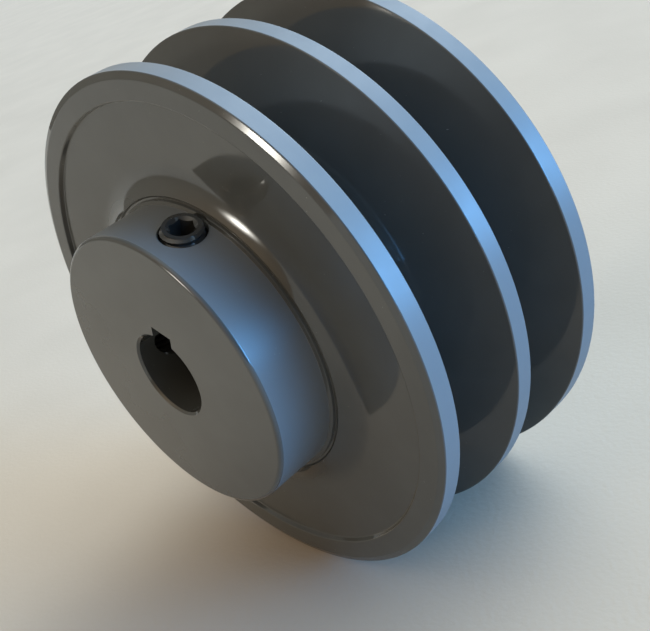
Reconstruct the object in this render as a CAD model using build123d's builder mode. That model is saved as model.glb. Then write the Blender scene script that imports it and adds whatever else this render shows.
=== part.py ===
from build123d import *

import os
from math import cos, radians, sin, tan

# A two-groove V-belt pulley with a fixed, keyed bore: one casting, turned all over its rims, grooves
# and hub, and the two hex-socket set screws that clamp it to its shaft.
#
# Frame: the origin is on the bore axis, half way across the face width. +Y is the spin axis, the hub
# stands out towards -Y, and +Z is up. Angles about the axis start at +Z and grow towards +X.

INCH = 25.4

# Rims and grooves
RIM_RADIUS = 3.95 * INCH / 2
FACE_WIDTH = (1 + 11 / 16) * INCH
GROOVE_PITCH = 0.75 * INCH
GROOVE_TOP_WIDTH = 0.612 * INCH
GROOVE_DEPTH = 15.5
GROOVE_HALF_ANGLE = 17.0
GROOVE_LIP_RADIUS = 0.3
GROOVE_FLOOR_RADIUS = 1.0
RIM_BEVEL_WIDTH = 1.25
RIM_BEVEL_DEPTH = 0.5
RIM_BEVEL_BLEND = 1.0
RIM_EDGE_RADIUS = 0.3

# Hub and bore
HUB_RADIUS = (2 + 1 / 8) * INCH / 2
HUB_PROJECTION = 12.4
HUB_EDGE_RADIUS = 0.8
BORE_RADIUS = 5 / 8 * INCH / 2
BORE_CHAMFER = 0.4
KEYWAY_WIDTH = 3 / 16 * INCH
KEYWAY_TOP = 10.07
KEYWAY_ANGLE = 24.0

# Shallow cast recess in each end face, between the hub and the rim ring. Its web dishes gently inwards,
# then an arc carries it up to a crest beside the hub.
RECESS_OUTER_RADIUS = 45.3
RECESS_DEPTH = 0.9
RECESS_WALL_RUN = 0.4
RECESS_CORNER_RADIUS = 0.3
WEB_DISH_RADIUS = 34.0
WEB_DISH_DEPTH = 1.5
WEB_CREST_RADIUS = 28.35

# Turned land and relief groove at the foot of the hub barrel: (beyond the barrel, behind the rim plane)
HUB_FOOT = ((0.0, -0.75), (0.6, -0.5), (0.7, 0.1), (1.05, 0.1), (WEB_CREST_RADIUS - HUB_RADIUS, -0.1))

# Set screws, 5/16 inch, one over the keyway and one a quarter turn from it
SCREW_RADIUS = 3.95
SCREW_HOLE_RADIUS = 4.0
SCREW_LENGTH = 0.5 * INCH
SCREW_PROUD = 1.0
SCREW_FROM_RIM = -4.7
SCREW_HEAD_CHAMFER = 0.55
SCREW_POINT_CHAMFER = 1.5
SCREW_CUP_RADIUS = 1.9
SCREW_CUP_DEPTH = 1.1
SOCKET_FLATS = 5 / 32 * INCH
SOCKET_DEPTH = 4.4
SOCKET_MOUTH_CHAMFER = 0.3
HOLE_MOUTH_CHAMFER = 0.4

FRONT_RIM_Y = -FACE_WIDTH / 2
REAR_RIM_Y = FACE_WIDTH / 2
HUB_FACE_Y = FRONT_RIM_Y - HUB_PROJECTION
SCREW_Y = FRONT_RIM_Y + SCREW_FROM_RIM
SCREW_HEAD = HUB_RADIUS + SCREW_PROUD
SCREW_TIP = SCREW_HEAD - SCREW_LENGTH
FLOOR_RADIUS = RIM_RADIUS - GROOVE_DEPTH
FLOOR_HALF_WIDTH = GROOVE_TOP_WIDTH / 2 - GROOVE_DEPTH * tan(radians(GROOVE_HALF_ANGLE))
CUT_MARGIN = 2.0

SCREW_ANGLES = {"keyway_set_screw": KEYWAY_ANGLE, "quarter_turn_set_screw": KEYWAY_ANGLE - 90}


def outward(angle):
    """Unit vector square to the bore axis, pointing out at this angle."""
    return Vector(sin(radians(angle)), 0, cos(radians(angle)))


def screw_plane(angle):
    """Section plane of a set screw: local x along the bore axis, local y out along the screw."""
    spin = Vector(0, 1, 0)
    return Plane(origin=(0, SCREW_Y, 0), x_dir=spin, z_dir=spin.cross(outward(angle)))


def groove_outline(middle):
    """The four corners of a V-groove, from its front lip round to its rear lip."""
    half_top = GROOVE_TOP_WIDTH / 2
    return [
        (RIM_RADIUS, middle - half_top),
        (FLOOR_RADIUS, middle - FLOOR_HALF_WIDTH),
        (FLOOR_RADIUS, middle + FLOOR_HALF_WIDTH),
        (RIM_RADIUS, middle + half_top),
    ]


def corners(sketch, points):
    """The vertices of a section that lie nearest these (radius, axial) points."""
    return [sketch.vertices().sort_by_distance((radius, axial, 0))[0] for radius, axial in points]


hub_foot = [(HUB_RADIUS + out, FRONT_RIM_Y + back) for out, back in HUB_FOOT]
grooves = [groove_outline(-GROOVE_PITCH / 2), groove_outline(GROOVE_PITCH / 2)]
recess_floor_radius = RECESS_OUTER_RADIUS - RECESS_WALL_RUN
bevel_radius = RIM_RADIUS - RIM_BEVEL_WIDTH

# Each end face, as points where the web's dish, the recess's wall and the rim's bevel begin and end
front_dish = (WEB_DISH_RADIUS, FRONT_RIM_Y + WEB_DISH_DEPTH)
front_recess = [
    (recess_floor_radius, FRONT_RIM_Y + RECESS_DEPTH),
    (RECESS_OUTER_RADIUS, FRONT_RIM_Y),
]
front_bevel = [(bevel_radius, FRONT_RIM_Y), (RIM_RADIUS, FRONT_RIM_Y + RIM_BEVEL_DEPTH)]
rear_dish = (WEB_DISH_RADIUS, REAR_RIM_Y - WEB_DISH_DEPTH)
rear_recess = [(recess_floor_radius, REAR_RIM_Y - RECESS_DEPTH), (RECESS_OUTER_RADIUS, REAR_RIM_Y)]
rear_bevel = [(bevel_radius, REAR_RIM_Y), (RIM_RADIUS, REAR_RIM_Y - RIM_BEVEL_DEPTH)]
dish_run = recess_floor_radius - WEB_DISH_RADIUS
dish_rise = WEB_DISH_DEPTH - RECESS_DEPTH

# Half section of the casting, radius along x and the spin axis along y
with BuildPart() as sheave:
    with BuildSketch(Plane.XY) as section:
        with BuildLine():
            Polyline(
                (BORE_RADIUS, REAR_RIM_Y - BORE_CHAMFER),
                (BORE_RADIUS, HUB_FACE_Y + BORE_CHAMFER),
                (BORE_RADIUS + BORE_CHAMFER, HUB_FACE_Y),
                (HUB_RADIUS, HUB_FACE_Y),
                *hub_foot,
            )
            TangentArc(front_dish, hub_foot[-1], tangent=(-dish_run, dish_rise))
            Polyline(
                front_dish,
                *front_recess,
                *front_bevel,
                *grooves[0],
                *grooves[1],
                *reversed(rear_bevel),
                *reversed(rear_recess),
                rear_dish,
            )
            TangentArc(rear_dish, (WEB_CREST_RADIUS, REAR_RIM_Y), tangent=(-dish_run, -dish_rise))
            Polyline(
                (WEB_CREST_RADIUS, REAR_RIM_Y),
                (BORE_RADIUS + BORE_CHAMFER, REAR_RIM_Y),
                (BORE_RADIUS, REAR_RIM_Y - BORE_CHAMFER),
            )
        make_face()
        lips = [groove[end] for groove in grooves for end in (0, -1)]
        floors = [groove[end] for groove in grooves for end in (1, 2)]
        fillet(corners(section, lips), GROOVE_LIP_RADIUS)
        fillet(corners(section, floors), GROOVE_FLOOR_RADIUS)
        fillet(corners(section, front_recess + rear_recess), RECESS_CORNER_RADIUS)
        fillet(corners(section, [front_bevel[0], rear_bevel[0]]), RIM_BEVEL_BLEND)
        fillet(corners(section, [front_bevel[1], rear_bevel[1]]), RIM_EDGE_RADIUS)
        fillet(corners(section, [(HUB_RADIUS, HUB_FACE_Y)]), HUB_EDGE_RADIUS)
    revolve(axis=Axis.Y)

    # Keyway along the whole bore
    keyway_plane = Plane(
        origin=(0, HUB_FACE_Y - CUT_MARGIN, 0), x_dir=outward(KEYWAY_ANGLE), z_dir=(0, 1, 0)
    )
    with BuildSketch(keyway_plane):
        Rectangle(KEYWAY_TOP, KEYWAY_WIDTH, align=(Align.MIN, Align.CENTER))
    extrude(amount=REAR_RIM_Y - HUB_FACE_Y + 2 * CUT_MARGIN, mode=Mode.SUBTRACT)

    # Tapped holes from the bore out through the barrel, each with a countersunk mouth
    for angle in SCREW_ANGLES.values():
        mouth_radius = SCREW_HOLE_RADIUS + HOLE_MOUTH_CHAMFER
        with BuildSketch(screw_plane(angle)):
            Polygon(
                (0, 0),
                (SCREW_HOLE_RADIUS, 0),
                (SCREW_HOLE_RADIUS, HUB_RADIUS - HOLE_MOUTH_CHAMFER),
                (mouth_radius, HUB_RADIUS),
                (mouth_radius, SCREW_HEAD + CUT_MARGIN),
                (0, SCREW_HEAD + CUT_MARGIN),
                align=None,
            )
        revolve(axis=Axis((0, SCREW_Y, 0), outward(angle)), mode=Mode.SUBTRACT)


def make_set_screw(name, angle):
    """A cup-point set screw with a hex socket, standing slightly proud of the hub barrel."""
    plane = screw_plane(angle)
    point_radius = SCREW_RADIUS - SCREW_POINT_CHAMFER
    mouth_radius = SOCKET_FLATS / 2 + SOCKET_MOUTH_CHAMFER
    with BuildPart() as screw:
        with BuildSketch(plane):
            Polygon(
                (0, SCREW_TIP + SCREW_CUP_DEPTH),
                (SCREW_CUP_RADIUS, SCREW_TIP),
                (point_radius, SCREW_TIP),
                (SCREW_RADIUS, SCREW_TIP + SCREW_POINT_CHAMFER),
                (SCREW_RADIUS, SCREW_HEAD - SCREW_HEAD_CHAMFER),
                (SCREW_RADIUS - SCREW_HEAD_CHAMFER, SCREW_HEAD),
                (mouth_radius, SCREW_HEAD),
                (0, SCREW_HEAD - mouth_radius),
                align=None,
            )
        revolve(axis=Axis((0, SCREW_Y, 0), outward(angle)))
        socket_plane = Plane(
            origin=plane.origin + outward(angle) * (SCREW_HEAD - SOCKET_DEPTH),
            x_dir=(0, 1, 0),
            z_dir=outward(angle),
        )
        with BuildSketch(socket_plane):
            RegularPolygon(radius=SOCKET_FLATS / 2, side_count=6, major_radius=False)
        extrude(amount=SOCKET_DEPTH, mode=Mode.SUBTRACT)
    screw.part.label = name
    return screw.part


os.makedirs("parts", exist_ok=True)

sheave.part.label = "sheave"
export_step(sheave.part, "parts/sheave.step")

for name, angle in SCREW_ANGLES.items():
    export_step(make_set_screw(name, angle), f"parts/{name}.step")
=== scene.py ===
from math import cos, hypot, pi, radians, sin, tan

import bmesh
import bpy
import numpy as np
from mathutils import Matrix, Vector


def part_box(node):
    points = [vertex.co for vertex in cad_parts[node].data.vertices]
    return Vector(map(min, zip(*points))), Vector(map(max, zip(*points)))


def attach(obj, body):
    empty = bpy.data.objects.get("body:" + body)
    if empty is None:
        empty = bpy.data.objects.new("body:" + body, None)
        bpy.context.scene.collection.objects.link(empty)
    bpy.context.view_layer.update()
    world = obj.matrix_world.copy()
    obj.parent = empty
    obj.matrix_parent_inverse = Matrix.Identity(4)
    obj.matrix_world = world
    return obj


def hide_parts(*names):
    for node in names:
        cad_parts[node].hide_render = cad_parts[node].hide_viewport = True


# A two-groove V-belt pulley in glossy grey enamel. The casting and the set screws are new meshes in the
# CAD frame. Lengths are in millimetres up to the point where a mesh is made, then in metres.

MM = 0.001
INCH = 25.4

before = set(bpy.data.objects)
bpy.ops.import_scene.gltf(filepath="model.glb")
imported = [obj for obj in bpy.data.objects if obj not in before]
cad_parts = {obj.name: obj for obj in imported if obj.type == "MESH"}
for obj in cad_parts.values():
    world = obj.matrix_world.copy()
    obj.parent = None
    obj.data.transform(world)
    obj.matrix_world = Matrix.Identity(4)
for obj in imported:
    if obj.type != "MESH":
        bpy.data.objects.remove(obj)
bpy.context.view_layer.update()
casting_low, casting_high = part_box("sheave")

# ---------------------------------------------------------------- sizes, from the frame where it has them
RIM_RADIUS = casting_high.z / MM
REAR_RIM_Y = casting_high.y / MM
FRONT_RIM_Y = -REAR_RIM_Y
HUB_FACE_Y = casting_low.y / MM

GROOVE_PITCH = 0.75 * INCH
GROOVE_TOP_WIDTH = 0.612 * INCH
GROOVE_DEPTH = 15.5
GROOVE_HALF_ANGLE = 17.0
GROOVE_LIP_RADIUS = 0.3
GROOVE_FLOOR_RADIUS = 1.0
RIM_EDGE_RADIUS = 0.3
RIM_BEVEL_WIDTH = 1.25
RIM_BEVEL_DEPTH = 0.5
RIM_BEVEL_BLEND = 1.0

HUB_RADIUS = (2 + 1 / 8) * INCH / 2
HUB_EDGE_RADIUS = 0.8
BORE_RADIUS = 5 / 8 * INCH / 2
BORE_CHAMFER = 0.4
KEYWAY_WIDTH = 3 / 16 * INCH
KEYWAY_TOP = 10.07
KEYWAY_ANGLE = 24.0

# Foot of the hub barrel, as (beyond the barrel, behind the rim plane, fillet)
HUB_FOOT = ((0, -0.75, 0.12), (0.6, -0.5, 0.1), (0.7, 0.1, 0.06), (1.05, 0.1, 0.06))

RECESS_OUTER_RADIUS = 45.3
RECESS_DEPTH = 0.9
RECESS_WALL_RUN = 0.4
RECESS_CORNER_RADIUS = 0.3
WEB_DISH_RADIUS = 34.0
WEB_DISH_DEPTH = 1.5
WEB_CREST_RADIUS = 28.35
WEB_CREST_PROUD = 0.1

SCREW_RADIUS = 3.95
SCREW_LENGTH = 0.5 * INCH
SCREW_PROUD = 1.0
SCREW_FROM_RIM = -4.7
SCREW_Y = FRONT_RIM_Y + SCREW_FROM_RIM
SCREW_HEAD = HUB_RADIUS + SCREW_PROUD
SCREW_TIP = SCREW_HEAD - SCREW_LENGTH
THREAD_PITCH = INCH / 18
THREAD_STEEPNESS = 2.6
THREAD_VALLEY_SHARE = 0.55
SCREW_THREAD_DEPTH = 0.75
SCREW_HEAD_CHAMFER = 0.55
SCREW_POINT_CHAMFER = 1.5
SCREW_CUP_RADIUS = 1.9
SCREW_CUP_DEPTH = 1.1
SOCKET_FLATS = 5 / 32 * INCH
SOCKET_DEPTH = 4.4
SOCKET_MOUTH_CHAMFER = 0.3
SOCKET_MOUTH_SLOPE = 0.8
SOCKET_FLOOR_DEPTH = 0.6
HOLE_RADIUS = 4.0
HOLE_THREAD_DEPTH = 0.32
HOLE_MOUTH_CHAMFER = 0.4

SCREWS = {"keyway_set_screw": KEYWAY_ANGLE, "quarter_turn_set_screw": KEYWAY_ANGLE - 90}

CUT_MARGIN = 2.0
SLIVER = 0.001
LATHE_SEGMENTS = 360
FILLET_STEPS = 8
WEB_ARC_STEPS = 14
HOLE_COLUMNS = 48
HOLE_ROWS_PER_TURN = 14
HOLE_CUTTER_START = 4.0
SCREW_COLUMNS = 96
SCREW_ROWS_PER_TURN = 24
SMOOTH_ANGLE = radians(30)
ON_SECTION = 0.02
SEARCH_BATCH = 4000


def outward(angle):
    """Unit vector square to the bore axis, at an angle from +Z towards +X in degrees."""
    return Vector((sin(radians(angle)), 0, cos(radians(angle))))


# ---------------------------------------------------------------- the casting's section
class Outline:
    """A closed section of straight runs and arcs, as (radius, axial) points with exact normals.

    It runs anticlockwise with radius to the right and the spin axis upwards, so the outward normal is
    on the right of the way it runs. Each segment is (point, normal at point, next point, normal there).
    """

    def __init__(self):
        self.segments = []
        self.end = None

    def start(self, point):
        self.end = Vector(point)

    def line(self, point):
        point = Vector(point)
        along = (point - self.end).normalized()
        normal = Vector((along.y, -along.x))
        self.segments.append((self.end, normal, point, normal))
        self.end = point

    def arc(self, centre, point, steps, convex):
        """A round stretch about centre, from where the outline is to point, the short way."""
        centre, point = Vector(centre), Vector(point)
        first, last = self.end - centre, point - centre
        turn = first.angle_signed(last)
        side = 1 if convex else -1
        spokes = [first @ Matrix.Rotation(turn * i / steps, 2) for i in range(steps + 1)]
        for a, b in zip(spokes, spokes[1:]):
            self.segments.append(
                (centre + a, side * a.normalized(), centre + b, side * b.normalized())
            )
        self.end = point

    def corners(self, points):
        """Straight runs through (radius, axial, fillet radius) corners, the last one with no fillet."""
        for here, following in zip(points, points[1:]):
            corner, fillet = Vector(here[:2]), here[2]
            if fillet == 0:
                self.line(corner)
                continue
            back = (self.end - corner).normalized()
            onward = (Vector(following[:2]) - corner).normalized()
            half = back.angle(onward) / 2
            reach = fillet / tan(half)
            middle = corner + (back + onward).normalized() * (fillet / sin(half))
            convex = back.x * onward.y - back.y * onward.x < 0
            self.line(corner + back * reach)
            self.arc(middle, corner + onward * reach, FILLET_STEPS, convex)
        self.line(points[-1][:2])


def web_arc_centre(dish, recess_corner, crest):
    """Centre of the arc that carries on from the web's slope, at the dish, and runs up to the crest."""
    slope = (Vector(recess_corner) - Vector(dish)).normalized()
    across = Vector((slope.y, -slope.x))
    reach = Vector(crest) - Vector(dish)
    return Vector(dish) + across * (reach.length_squared / (2 * reach.dot(across)))


def groove_corners(middle):
    half_top = GROOVE_TOP_WIDTH / 2
    half_floor = half_top - GROOVE_DEPTH * tan(radians(GROOVE_HALF_ANGLE))
    floor = RIM_RADIUS - GROOVE_DEPTH
    return [
        (RIM_RADIUS, middle - half_top, GROOVE_LIP_RADIUS),
        (floor, middle - half_floor, GROOVE_FLOOR_RADIUS),
        (floor, middle + half_floor, GROOVE_FLOOR_RADIUS),
        (RIM_RADIUS, middle + half_top, GROOVE_LIP_RADIUS),
    ]


def casting_outline():
    """The casting's half section, up the front of it from the bore and back down the rear."""
    recess_floor = RECESS_OUTER_RADIUS - RECESS_WALL_RUN
    bevel_radius = RIM_RADIUS - RIM_BEVEL_WIDTH
    chamfer_radius = BORE_RADIUS + BORE_CHAMFER
    corner = (recess_floor, FRONT_RIM_Y + RECESS_DEPTH)
    rear_corner = (recess_floor, REAR_RIM_Y - RECESS_DEPTH)
    dish = (WEB_DISH_RADIUS, FRONT_RIM_Y + WEB_DISH_DEPTH)
    rear_dish = (WEB_DISH_RADIUS, REAR_RIM_Y - WEB_DISH_DEPTH)
    crest = (WEB_CREST_RADIUS, FRONT_RIM_Y - WEB_CREST_PROUD)
    rear_crest = (WEB_CREST_RADIUS, REAR_RIM_Y)
    front_hub = [
        (BORE_RADIUS, HUB_FACE_Y + BORE_CHAMFER, 0),
        (chamfer_radius, HUB_FACE_Y, 0),
        (HUB_RADIUS, HUB_FACE_Y, HUB_EDGE_RADIUS),
        *[(HUB_RADIUS + out, FRONT_RIM_Y + back, fillet) for out, back, fillet in HUB_FOOT],
        (*crest, 0),
    ]
    rims = [
        (*corner, RECESS_CORNER_RADIUS),
        (RECESS_OUTER_RADIUS, FRONT_RIM_Y, RECESS_CORNER_RADIUS),
        (bevel_radius, FRONT_RIM_Y, RIM_BEVEL_BLEND),
        (RIM_RADIUS, FRONT_RIM_Y + RIM_BEVEL_DEPTH, RIM_EDGE_RADIUS),
        *groove_corners(-GROOVE_PITCH / 2),
        *groove_corners(GROOVE_PITCH / 2),
        (RIM_RADIUS, REAR_RIM_Y - RIM_BEVEL_DEPTH, RIM_EDGE_RADIUS),
        (bevel_radius, REAR_RIM_Y, RIM_BEVEL_BLEND),
        (RECESS_OUTER_RADIUS, REAR_RIM_Y, RECESS_CORNER_RADIUS),
        (*rear_corner, RECESS_CORNER_RADIUS),
        (*rear_dish, 0),
    ]
    rear_hub = [
        (chamfer_radius, REAR_RIM_Y, 0),
        (BORE_RADIUS, REAR_RIM_Y - BORE_CHAMFER, 0),
    ]
    front_centre = web_arc_centre(dish, corner, crest)
    rear_centre = web_arc_centre(rear_dish, rear_corner, rear_crest)

    outline = Outline()
    outline.start((BORE_RADIUS, REAR_RIM_Y - BORE_CHAMFER))
    outline.corners(front_hub)
    outline.arc(front_centre, dish, WEB_ARC_STEPS, convex=False)
    outline.corners(rims)
    outline.arc(rear_centre, rear_crest, WEB_ARC_STEPS, convex=False)
    outline.corners(rear_hub)
    return outline


# ---------------------------------------------------------------- mesh helpers
def mesh_object(name, vertices, faces):
    mesh = bpy.data.meshes.new(name)
    mesh.from_pydata(vertices, [], faces)
    mesh.validate()
    made = bpy.data.objects.new(name, mesh)
    bpy.context.scene.collection.objects.link(made)
    return made


def lathe(name, outline):
    """The outline turned about the bore axis, as a closed ring of quads."""
    points = [segment[0] for segment in outline.segments]
    count = len(points)
    vertices = []
    for step in range(LATHE_SEGMENTS):
        out = outward(360 * step / LATHE_SEGMENTS)
        vertices += [(out * p.x + Vector((0, p.y, 0))) * MM for p in points]
    faces = []
    for step in range(LATHE_SEGMENTS):
        here, following = step * count, (step + 1) % LATHE_SEGMENTS * count
        for i in range(count):
            j = (i + 1) % count
            faces.append((here + i, following + i, following + j, here + j))
    return mesh_object(name, vertices, faces)


def ring(radius, height):
    """A row of turned_mesh that is a plain circle."""
    return lambda turn: (radius, height)


def turned_mesh(name, rows, columns, place):
    """A closed mesh of rings joined by quads: rows is a list of functions from turn angle to (radius,
    height), the first and last of which close on a centre point. place turns them into the frame."""
    vertices, faces = [], []
    for row in rows[1:-1]:
        for column in range(columns):
            angle = 2 * pi * column / columns
            radius, height = row(angle)
            vertices.append(place @ (Vector((radius * cos(angle), radius * sin(angle), height)) * MM))
    rings = len(rows) - 2
    for lower in range(0, (rings - 1) * columns, columns):
        upper = lower + columns
        for c in range(columns):
            d = (c + 1) % columns
            faces.append((lower + c, lower + d, upper + d, upper + c))
    for row, edge, flip in ((rows[0], 0, True), (rows[-1], (rings - 1) * columns, False)):
        vertices.append(place @ (Vector((0, 0, row(0)[1])) * MM))
        centre = len(vertices) - 1
        for c in range(columns):
            a, b = edge + c, edge + (c + 1) % columns
            faces.append((centre, b, a) if flip else (centre, a, b))
    return mesh_object(name, vertices, faces)


def cut(target, cutter):
    """Takes cutter away from target for good, deletes cutter and welds the slivers along the cut."""
    modifier = target.modifiers.new("cut", "BOOLEAN")
    modifier.operation = "DIFFERENCE"
    modifier.solver = "EXACT"
    modifier.object = cutter
    graph = bpy.context.evaluated_depsgraph_get()
    result = bpy.data.meshes.new_from_object(target.evaluated_get(graph))
    target.modifiers.clear()
    target.data = result
    bpy.data.objects.remove(cutter)
    weld = bmesh.new()
    weld.from_mesh(result)
    bmesh.ops.remove_doubles(weld, verts=weld.verts, dist=SLIVER * MM)
    bmesh.ops.dissolve_degenerate(weld, edges=weld.edges, dist=SLIVER * MM)
    weld.to_mesh(result)
    weld.free()


def thread_radius(angle, height, valley, crest):
    """Radius of a 60 degree thread at a turn angle and a height, with flat crests and valleys."""
    phase = (height / THREAD_PITCH - angle / (2 * pi)) % 1
    from_valley = 0.5 - abs(phase - 0.5)
    rise = min(max(from_valley * THREAD_STEEPNESS - THREAD_VALLEY_SHARE, 0), 1)
    return valley + (crest - valley) * rise


def screw_place(angle):
    """Matrix for a mesh made along its own +Z from the bore axis, so that it points out at this angle."""
    turn = Vector((0, 0, 1)).rotation_difference(outward(angle)).to_matrix().to_4x4()
    return Matrix.Translation(Vector((0, SCREW_Y, 0)) * MM) @ turn


# ---------------------------------------------------------------- the casting
def keyway_cutter():
    """A block from the bore axis to the keyway's top, through both ends of the bore."""
    half = KEYWAY_WIDTH / 2
    along = outward(KEYWAY_ANGLE)
    across = outward(KEYWAY_ANGLE + 90)
    ends = [
        (along * reach + across * side + Vector((0, y, 0))) * MM
        for y in (HUB_FACE_Y - CUT_MARGIN, REAR_RIM_Y + CUT_MARGIN)
        for reach, side in ((0, -half), (0, half), (KEYWAY_TOP, half), (KEYWAY_TOP, -half))
    ]
    faces = [(0, 1, 2, 3), (7, 6, 5, 4), (0, 4, 5, 1), (1, 5, 6, 2), (2, 6, 7, 3), (3, 7, 4, 0)]
    return mesh_object("keyway_cutter", ends, faces)


def tapped_hole_cutter(angle):
    """A threaded rod from near the bore axis out past the barrel, with the countersink near its end."""
    mouth_radius = HOLE_RADIUS + HOLE_MOUTH_CHAMFER
    thread_length = HUB_RADIUS - HOLE_MOUTH_CHAMFER - HOLE_CUTTER_START
    steps = int(thread_length / THREAD_PITCH * HOLE_ROWS_PER_TURN)

    def thread_row(height):
        valley, crest = HOLE_RADIUS, HOLE_RADIUS + HOLE_THREAD_DEPTH
        return lambda turn: (thread_radius(turn, height, valley, crest), height)

    rows = [
        ring(0, HOLE_CUTTER_START),
        *[thread_row(HOLE_CUTTER_START + thread_length * i / steps) for i in range(steps + 1)],
        ring(mouth_radius, HUB_RADIUS),
        ring(mouth_radius, SCREW_HEAD + CUT_MARGIN),
        ring(0, SCREW_HEAD + CUT_MARGIN),
    ]
    return turned_mesh("hole_cutter", rows, HOLE_COLUMNS, screw_place(angle))


def read_array(items, key, width, kind=float):
    """One value of every item of a mesh, as an array with width numbers to a row."""
    values = np.zeros(len(items) * width, dtype=kind)
    items.foreach_get(key, values)
    return values.reshape(-1, width)


def share_along(starts, runs, places):
    """How far along its segment each place lies, from 0 at its start to 1 at its end."""
    return np.clip(((places - starts) * runs).sum(-1) / (runs**2).sum(-1), 0, 1)


def nearest_segments(starts, runs, places):
    """The number of the segment nearest to each place, and how far off it is."""
    nearest = np.zeros(len(places), dtype=int)
    gap = np.zeros(len(places))
    for first in range(0, len(places), SEARCH_BATCH):
        batch = slice(first, first + SEARCH_BATCH)
        part = places[batch, None, :]
        foot = starts + share_along(starts, runs, part)[..., None] * runs
        miss = np.linalg.norm(part - foot, axis=2)
        nearest[batch] = miss.argmin(1)
        gap[batch] = miss.min(1)
    return nearest, gap


def in_section(points):
    """Points in the frame as (radius, axial) places in the section."""
    return np.c_[np.hypot(points[:, 0], points[:, 2]), points[:, 1]]


def exact_normals(made, outline):
    """Gives every face that lies on the turned outline its exact normals, and leaves the others flat."""
    mesh = made.data
    mesh.shade_smooth()
    starts, first_normals, ends, last_normals = (
        np.array([segment[k] for segment in outline.segments]) for k in range(4)
    )
    runs = ends - starts
    loop_counts = read_array(mesh.polygons, "loop_total", 1, int)[:, 0]
    loop_face = np.repeat(np.arange(len(loop_counts)), loop_counts)
    loop_vertex = read_array(mesh.loops, "vertex_index", 1, int)[:, 0]
    flat = read_array(mesh.polygons, "normal", 3)[loop_face]
    points = (read_array(mesh.vertices, "co", 3) / MM)[loop_vertex]
    centres = read_array(mesh.polygons, "center", 3) / MM
    nearest, gap = nearest_segments(starts, runs, in_section(centres))

    segment = nearest[loop_face]
    places = in_section(points)
    share = share_along(starts[segment], runs[segment], places)[:, None]
    section = first_normals[segment] * (1 - share) + last_normals[segment] * share
    section /= np.linalg.norm(section, axis=1)[:, None]
    out = points[:, [0, 2]] / places[:, :1]
    exact = np.c_[section[:, 0] * out[:, 0], section[:, 1], section[:, 0] * out[:, 1]]
    agrees = (exact * flat).sum(1) > cos(SMOOTH_ANGLE)
    turned = agrees & (gap[loop_face] < ON_SECTION)
    mesh.normals_split_custom_set(np.where(turned[:, None], exact, flat).tolist())


def on_turned_face(radius, axial):
    """The hub's barrel and the rims show the lathe's grooves, and the enamel paints them lighter,
    a painted light for the window light on them; the enamel lies smooth everywhere else.
    """
    barrel_front = HUB_FACE_Y + HUB_EDGE_RADIUS - ON_SECTION
    barrel_rear = FRONT_RIM_Y + HUB_FOOT[0][1]
    on_barrel = abs(radius - HUB_RADIUS) < ON_SECTION and barrel_front < axial < barrel_rear
    return on_barrel or radius > RIM_RADIUS - ON_SECTION / 2


def mark_turned_faces(made):
    """A point attribute for the enamel, 1 on the turned faces and 0 elsewhere. The enamel makes these
    faces rougher and paints them lighter, a painted light for the window light on the barrel and rims.
    """
    turned = made.data.attributes.new("turned", "FLOAT", "POINT")
    for vertex in made.data.vertices:
        x, y, z = vertex.co / MM
        turned.data[vertex.index].value = float(on_turned_face(hypot(x, z), y))


def make_casting():
    outline = casting_outline()
    casting = lathe("sheave_casting", outline)
    cut(casting, keyway_cutter())
    for angle in SCREWS.values():
        cut(casting, tapped_hole_cutter(angle))
    exact_normals(casting, outline)
    mark_turned_faces(casting)
    return casting


# ---------------------------------------------------------------- the set screws
def socket_radius(turn):
    """Radius of the hexagonal socket's wall at a turn angle."""
    return SOCKET_FLATS / 2 / cos((turn + pi / 6) % (pi / 3) - pi / 6)


def make_set_screw(name, angle):
    """A cup-point screw with a rolled thread and a hex socket, turned from rows of rings. Rows a few
    hundredths of a millimetre apart break its sharp edges."""
    valley = SCREW_RADIUS - SCREW_THREAD_DEPTH
    point_radius = SCREW_RADIUS - SCREW_POINT_CHAMFER
    head_radius = SCREW_RADIUS - SCREW_HEAD_CHAMFER
    mouth = SOCKET_FLATS / 2 / cos(pi / 6) + SOCKET_MOUTH_CHAMFER
    steps = int(SCREW_LENGTH / THREAD_PITCH * SCREW_ROWS_PER_TURN)

    def barrel_row(height):
        point_limit = point_radius + height - SCREW_TIP
        head_limit = head_radius + SCREW_HEAD - height
        limit = min(SCREW_RADIUS, point_limit, head_limit)
        return lambda turn: (min(thread_radius(turn, height, valley, SCREW_RADIUS), limit), height)

    def mouth_row(turn):
        radius = socket_radius(turn)
        return radius, SCREW_HEAD - (mouth - radius) * SOCKET_MOUTH_SLOPE

    rows = [
        ring(0, SCREW_TIP + SCREW_CUP_DEPTH),
        ring(SCREW_CUP_RADIUS - 0.1, SCREW_TIP + 0.08),
        ring(SCREW_CUP_RADIUS, SCREW_TIP),
        ring(point_radius - 0.05, SCREW_TIP),
        *[barrel_row(SCREW_TIP + SCREW_LENGTH * (i + 0.5) / steps) for i in range(steps)],
        ring(head_radius - 0.08, SCREW_HEAD),
        ring(mouth + 0.04, SCREW_HEAD),
        ring(mouth - 0.02, SCREW_HEAD - 0.04),
        mouth_row,
        lambda turn: (socket_radius(turn), SCREW_HEAD - SOCKET_DEPTH + 0.1),
        lambda turn: (socket_radius(turn) - 0.1, SCREW_HEAD - SOCKET_DEPTH),
        ring(0, SCREW_HEAD - SOCKET_DEPTH - SOCKET_FLOOR_DEPTH),
    ]
    screw = turned_mesh(f"{name}_threaded", rows, SCREW_COLUMNS, screw_place(angle))
    screw.data.shade_smooth()
    screw.data.set_sharp_from_angle(angle=SMOOTH_ANGLE)
    return screw
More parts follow.
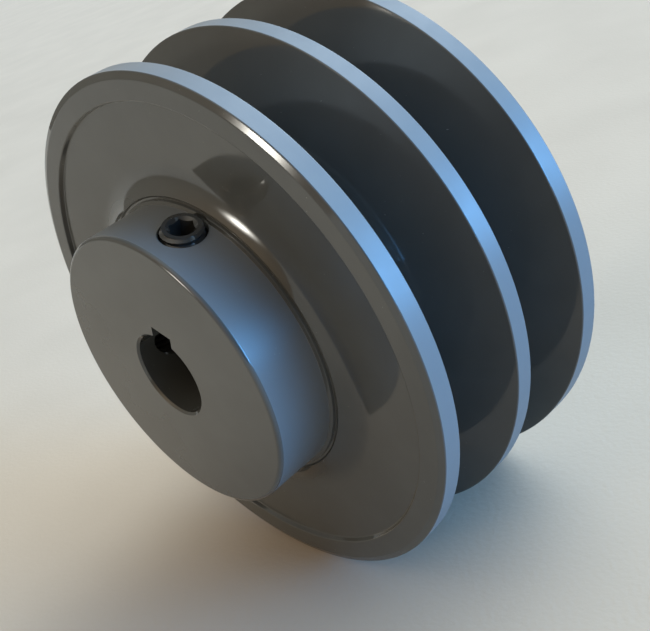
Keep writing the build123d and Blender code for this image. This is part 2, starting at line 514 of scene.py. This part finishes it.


# ---------------------------------------------------------------- materials
# Lighter colour painted on the casting's turned faces, a painted light for the window light on the barrel
# and rims; the enamel's random cloud also blends towards it.
CASTING_CLOUD_AND_PAINTED_LIGHT_COLOUR = (0.14, 0.146, 0.148, 1)
CASTING_COLOUR = (0.066, 0.067, 0.062, 1)
SCREW_CLOUD_COLOUR = (0.05, 0.051, 0.049, 1)
SCREW_COLOUR = (0.035, 0.036, 0.035, 1)
DUST_COLOUR = (0.36, 0.36, 0.34, 1)
CLOUD_SHARE = 0.12
SMOOTH_ROUGHNESS = 0.06
TURNED_ROUGHNESS = 0.48
ANISOTROPY = 0.75
ANISOTROPIC_TURN = 0.25
ENAMEL_IOR = 1.62
FINE_PEEL = 0.004
BROAD_PEEL = 0.008

PAPER_COLOUR = (0.485, 0.4, 0.315, 1)
PAPER_PALE_COLOUR = (0.52, 0.43, 0.34, 1)
PAPER_ROUGHNESS = 0.85
PAPER_GRAIN = 0.06


class Nodes:
    """Short names for the nodes that the materials here are built from."""

    def __init__(self, name):
        self.material = bpy.data.materials.new(name)
        self.material.use_nodes = True
        self.tree = self.material.node_tree
        self.shader = self.tree.nodes["Principled BSDF"]

    def add(self, kind, **inputs):
        node = self.tree.nodes.new(kind)
        for key, value in inputs.items():
            self.give(node.inputs[key.replace("_", " ")], value)
        return node

    def give(self, socket, value):
        if isinstance(value, bpy.types.NodeSocket):
            self.tree.links.new(value, socket)
        else:
            socket.default_value = value

    def set(self, **inputs):
        for key, value in inputs.items():
            self.give(self.shader.inputs[key.replace("_", " ")], value)

    def place(self):
        return self.add("ShaderNodeTexCoord").outputs["Object"]

    def noise(self, scale, detail):
        node = self.add("ShaderNodeTexNoise", Vector=self.place(), Scale=scale, Detail=detail)
        return node.outputs["Fac"]

    def ramp(self, value, low, high, bottom=0.0, top=1.0):
        node = self.add(
            "ShaderNodeMapRange",
            Value=value,
            From_Min=low,
            From_Max=high,
            To_Min=bottom,
            To_Max=top,
        )
        return node.outputs["Result"]

    def mix(self, share, first, second):
        """A mix of two colours, which are a mix node's inputs 6 and 7 and its output 2."""
        node = self.tree.nodes.new("ShaderNodeMix")
        node.data_type = "RGBA"
        self.give(node.inputs[0], share)
        self.give(node.inputs[6], first)
        self.give(node.inputs[7], second)
        return node.outputs[2]

    def math(self, operation, first, second):
        node = self.tree.nodes.new("ShaderNodeMath")
        node.operation = operation
        self.give(node.inputs[0], first)
        self.give(node.inputs[1], second)
        return node.outputs[0]

    def attribute(self, name):
        node = self.tree.nodes.new("ShaderNodeAttribute")
        node.attribute_name = name
        return node.outputs["Fac"]

    def round_bore_axis(self):
        """The direction round the bore axis, as the tangent of an anisotropic reflection."""
        node = self.tree.nodes.new("ShaderNodeTangent")
        node.direction_type = "RADIAL"
        node.axis = "Y"
        return node.outputs["Tangent"]

    def bump(self, height, distance, onto=None):
        """A bump of this many millimetres, on top of the bump onto where there is one."""
        node = self.add("ShaderNodeBump", Height=height, Distance=distance * MM, Strength=1.0)
        if onto is not None:
            self.give(node.inputs["Normal"], onto)
        return node.outputs["Normal"]


def enamel(name, cloud_and_painted_light_colour, colour):
    """Gloss enamel with a faint orange peel and specks of dust. The lathe's fine grooves show through it
    on the turned faces, where they spread a reflection across them. The turned faces are also painted
    lighter, a painted light for the window light on them. Noise scales are waves to a metre."""
    nodes = Nodes(name)
    turned = nodes.attribute("turned")
    cloud = nodes.ramp(nodes.noise(90, 3), 0.3, 0.7, 0, CLOUD_SHARE)
    # The turned faces take the lighter colour as painted light; elsewhere the cloud mixes in random tone.
    base = nodes.mix(nodes.math("MAXIMUM", cloud, turned), colour, cloud_and_painted_light_colour)
    specks = nodes.ramp(nodes.noise(2600, 1), 0.79, 0.83)
    patches = nodes.ramp(nodes.noise(160, 2), 0.4, 0.7)
    dust = nodes.math("MULTIPLY", specks, patches)
    roughness = nodes.ramp(turned, 0, 1, SMOOTH_ROUGHNESS, TURNED_ROUGHNESS)
    uneven = nodes.ramp(nodes.noise(260, 3), 0.3, 0.7, -0.02, 0.04)
    fine_peel = nodes.bump(nodes.noise(520, 2), FINE_PEEL)
    nodes.set(
        Base_Color=nodes.mix(dust, base, DUST_COLOUR),
        Roughness=nodes.math("ADD", roughness, uneven),
        IOR=ENAMEL_IOR,
        Anisotropic=ANISOTROPY,
        Anisotropic_Rotation=ANISOTROPIC_TURN,
        Tangent=nodes.round_bore_axis(),
        Normal=nodes.bump(nodes.noise(110, 2), BROAD_PEEL, onto=fine_peel),
    )
    return nodes.material


def pale_paper():
    """The floor: smooth pale paper, a little uneven in tone."""
    nodes = Nodes("pale_paper")
    tone = nodes.ramp(nodes.noise(22, 4), 0.3, 0.7)
    nodes.set(
        Base_Color=nodes.mix(tone, PAPER_COLOUR, PAPER_PALE_COLOUR),
        Roughness=PAPER_ROUGHNESS,
        Normal=nodes.bump(nodes.noise(900, 3), PAPER_GRAIN),
    )
    return nodes.material


# ---------------------------------------------------------------- stage, light and camera
FLOOR_REACH = 30.0

# Soft lobes of light: azimuth from -Y towards +X and elevation in degrees, tightness, colour
LIGHT_LOBES = {
    "low_window": (114, 1, 26, (7, 24, 52)),
    "window_top": (128, 32, 20, (2.2, 3.2, 4.0)),
    "behind": (184, 40, 12, (6.2, 7.4, 8.2)),
    "left_back": (235, 25, 12, (1.0, 1.0, 0.95)),
    "left": (300, 15, 6, (0.3, 0.3, 0.27)),
    "front": (0, 35, 6, (0.8, 0.54, 0.3)),
    "above": (0, 78, 8, (0.8, 0.88, 0.85)),
    "lamp": (336, 11, 400, (34, 33, 30)),
}
SKY_BASE = (0.01, 0.01, 0.01)
LIGHT_MAP_WIDTH = 512

CAMERA_AIM = Vector((3.5, -0.75, -7.4))
CAMERA_AZIMUTH = 54.5
CAMERA_ELEVATION = 24.1
CAMERA_ROLL = 21.1
CAMERA_DISTANCE = 198.7
CAMERA_LENS = 57.93


def compass(azimuth, elevation):
    """Unit vector for an azimuth from -Y towards +X and an elevation, in degrees."""
    a, e = radians(azimuth), radians(elevation)
    return Vector((sin(a) * cos(e), -cos(a) * cos(e), sin(e)))


def make_floor():
    """A square of paper under the rims, wide enough to reach the horizon."""
    height = -RIM_RADIUS * MM
    signs = ((-1, -1), (1, -1), (1, 1), (-1, 1))
    corners = [(x * FLOOR_REACH, y * FLOOR_REACH, height) for x, y in signs]
    floor = mesh_object("floor", corners, [(0, 1, 2, 3)])
    floor.data.materials.append(pale_paper())


def add_lobe(tree, direction, name, total):
    """Adds one lobe's light, colour * exp(tightness * (cosine - 1)), to the total so far."""
    azimuth, elevation, tightness, colour = LIGHT_LOBES[name]
    facing = tree.nodes.new("ShaderNodeVectorMath")
    facing.operation = "DOT_PRODUCT"
    facing.inputs[1].default_value = compass(azimuth, elevation)
    tree.links.new(direction, facing.inputs[0])
    power = tree.nodes.new("ShaderNodeMath")
    power.operation = "MULTIPLY_ADD"
    power.inputs[1].default_value = tightness
    power.inputs[2].default_value = -tightness
    tree.links.new(facing.outputs["Value"], power.inputs[0])
    falloff = tree.nodes.new("ShaderNodeMath")
    falloff.operation = "EXPONENT"
    tree.links.new(power.outputs[0], falloff.inputs[0])
    tinted = tree.nodes.new("ShaderNodeVectorMath")
    tinted.operation = "MULTIPLY_ADD"
    tinted.label = name
    tinted.inputs[1].default_value = colour
    tree.links.new(falloff.outputs[0], tinted.inputs[0])
    if total is None:
        tinted.inputs[2].default_value = SKY_BASE
    else:
        tree.links.new(total, tinted.inputs[2])
    return tinted.outputs[0]


def make_light():
    """A studio of soft lobes in the world: each falls off smoothly round its own direction."""
    world = bpy.data.worlds.new("studio")
    bpy.context.scene.world = world
    world.use_nodes = True
    tree = world.node_tree
    direction = tree.nodes.new("ShaderNodeTexCoord").outputs["Generated"]
    total = None
    for name in LIGHT_LOBES:
        total = add_lobe(tree, direction, name, total)
    tree.links.new(total, tree.nodes["Background"].inputs["Color"])
    world.cycles.sampling_method = "MANUAL"
    world.cycles.sample_map_resolution = LIGHT_MAP_WIDTH


def make_camera():
    """The camera, at the front right and a little above, rolled so that the bore axis leans."""
    data = bpy.data.cameras.new("camera")
    data.sensor_width = 36
    data.lens = CAMERA_LENS
    data.clip_start = 0.01
    data.clip_end = 50
    camera = bpy.data.objects.new("camera", data)
    bpy.context.scene.collection.objects.link(camera)
    back = compass(CAMERA_AZIMUTH, CAMERA_ELEVATION)
    camera.location = (CAMERA_AIM + back * CAMERA_DISTANCE) * MM
    turn = back.to_track_quat("Z", "Y").to_matrix().to_4x4()
    roll = Matrix.Rotation(radians(-CAMERA_ROLL), 4, "Z")
    camera.rotation_euler = (turn @ roll).to_euler()
    bpy.context.scene.camera = camera


# ---------------------------------------------------------------- the scene
bpy.context.scene.view_settings.view_transform = "Standard"
make_camera()
make_floor()
make_light()

# The casting's enamel paints its turned faces lighter, as painted light.
casting_enamel = enamel("casting_enamel", CASTING_CLOUD_AND_PAINTED_LIGHT_COLOUR, CASTING_COLOUR)
screw_enamel = enamel("screw_enamel", SCREW_CLOUD_COLOUR, SCREW_COLOUR)

casting = make_casting()
casting.data.materials.append(casting_enamel)
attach(casting, "sheave")
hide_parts("sheave")

for name, angle in SCREWS.items():
    screw = make_set_screw(name, angle)
    screw.data.materials.append(screw_enamel)
    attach(screw, name)
    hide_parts(name)
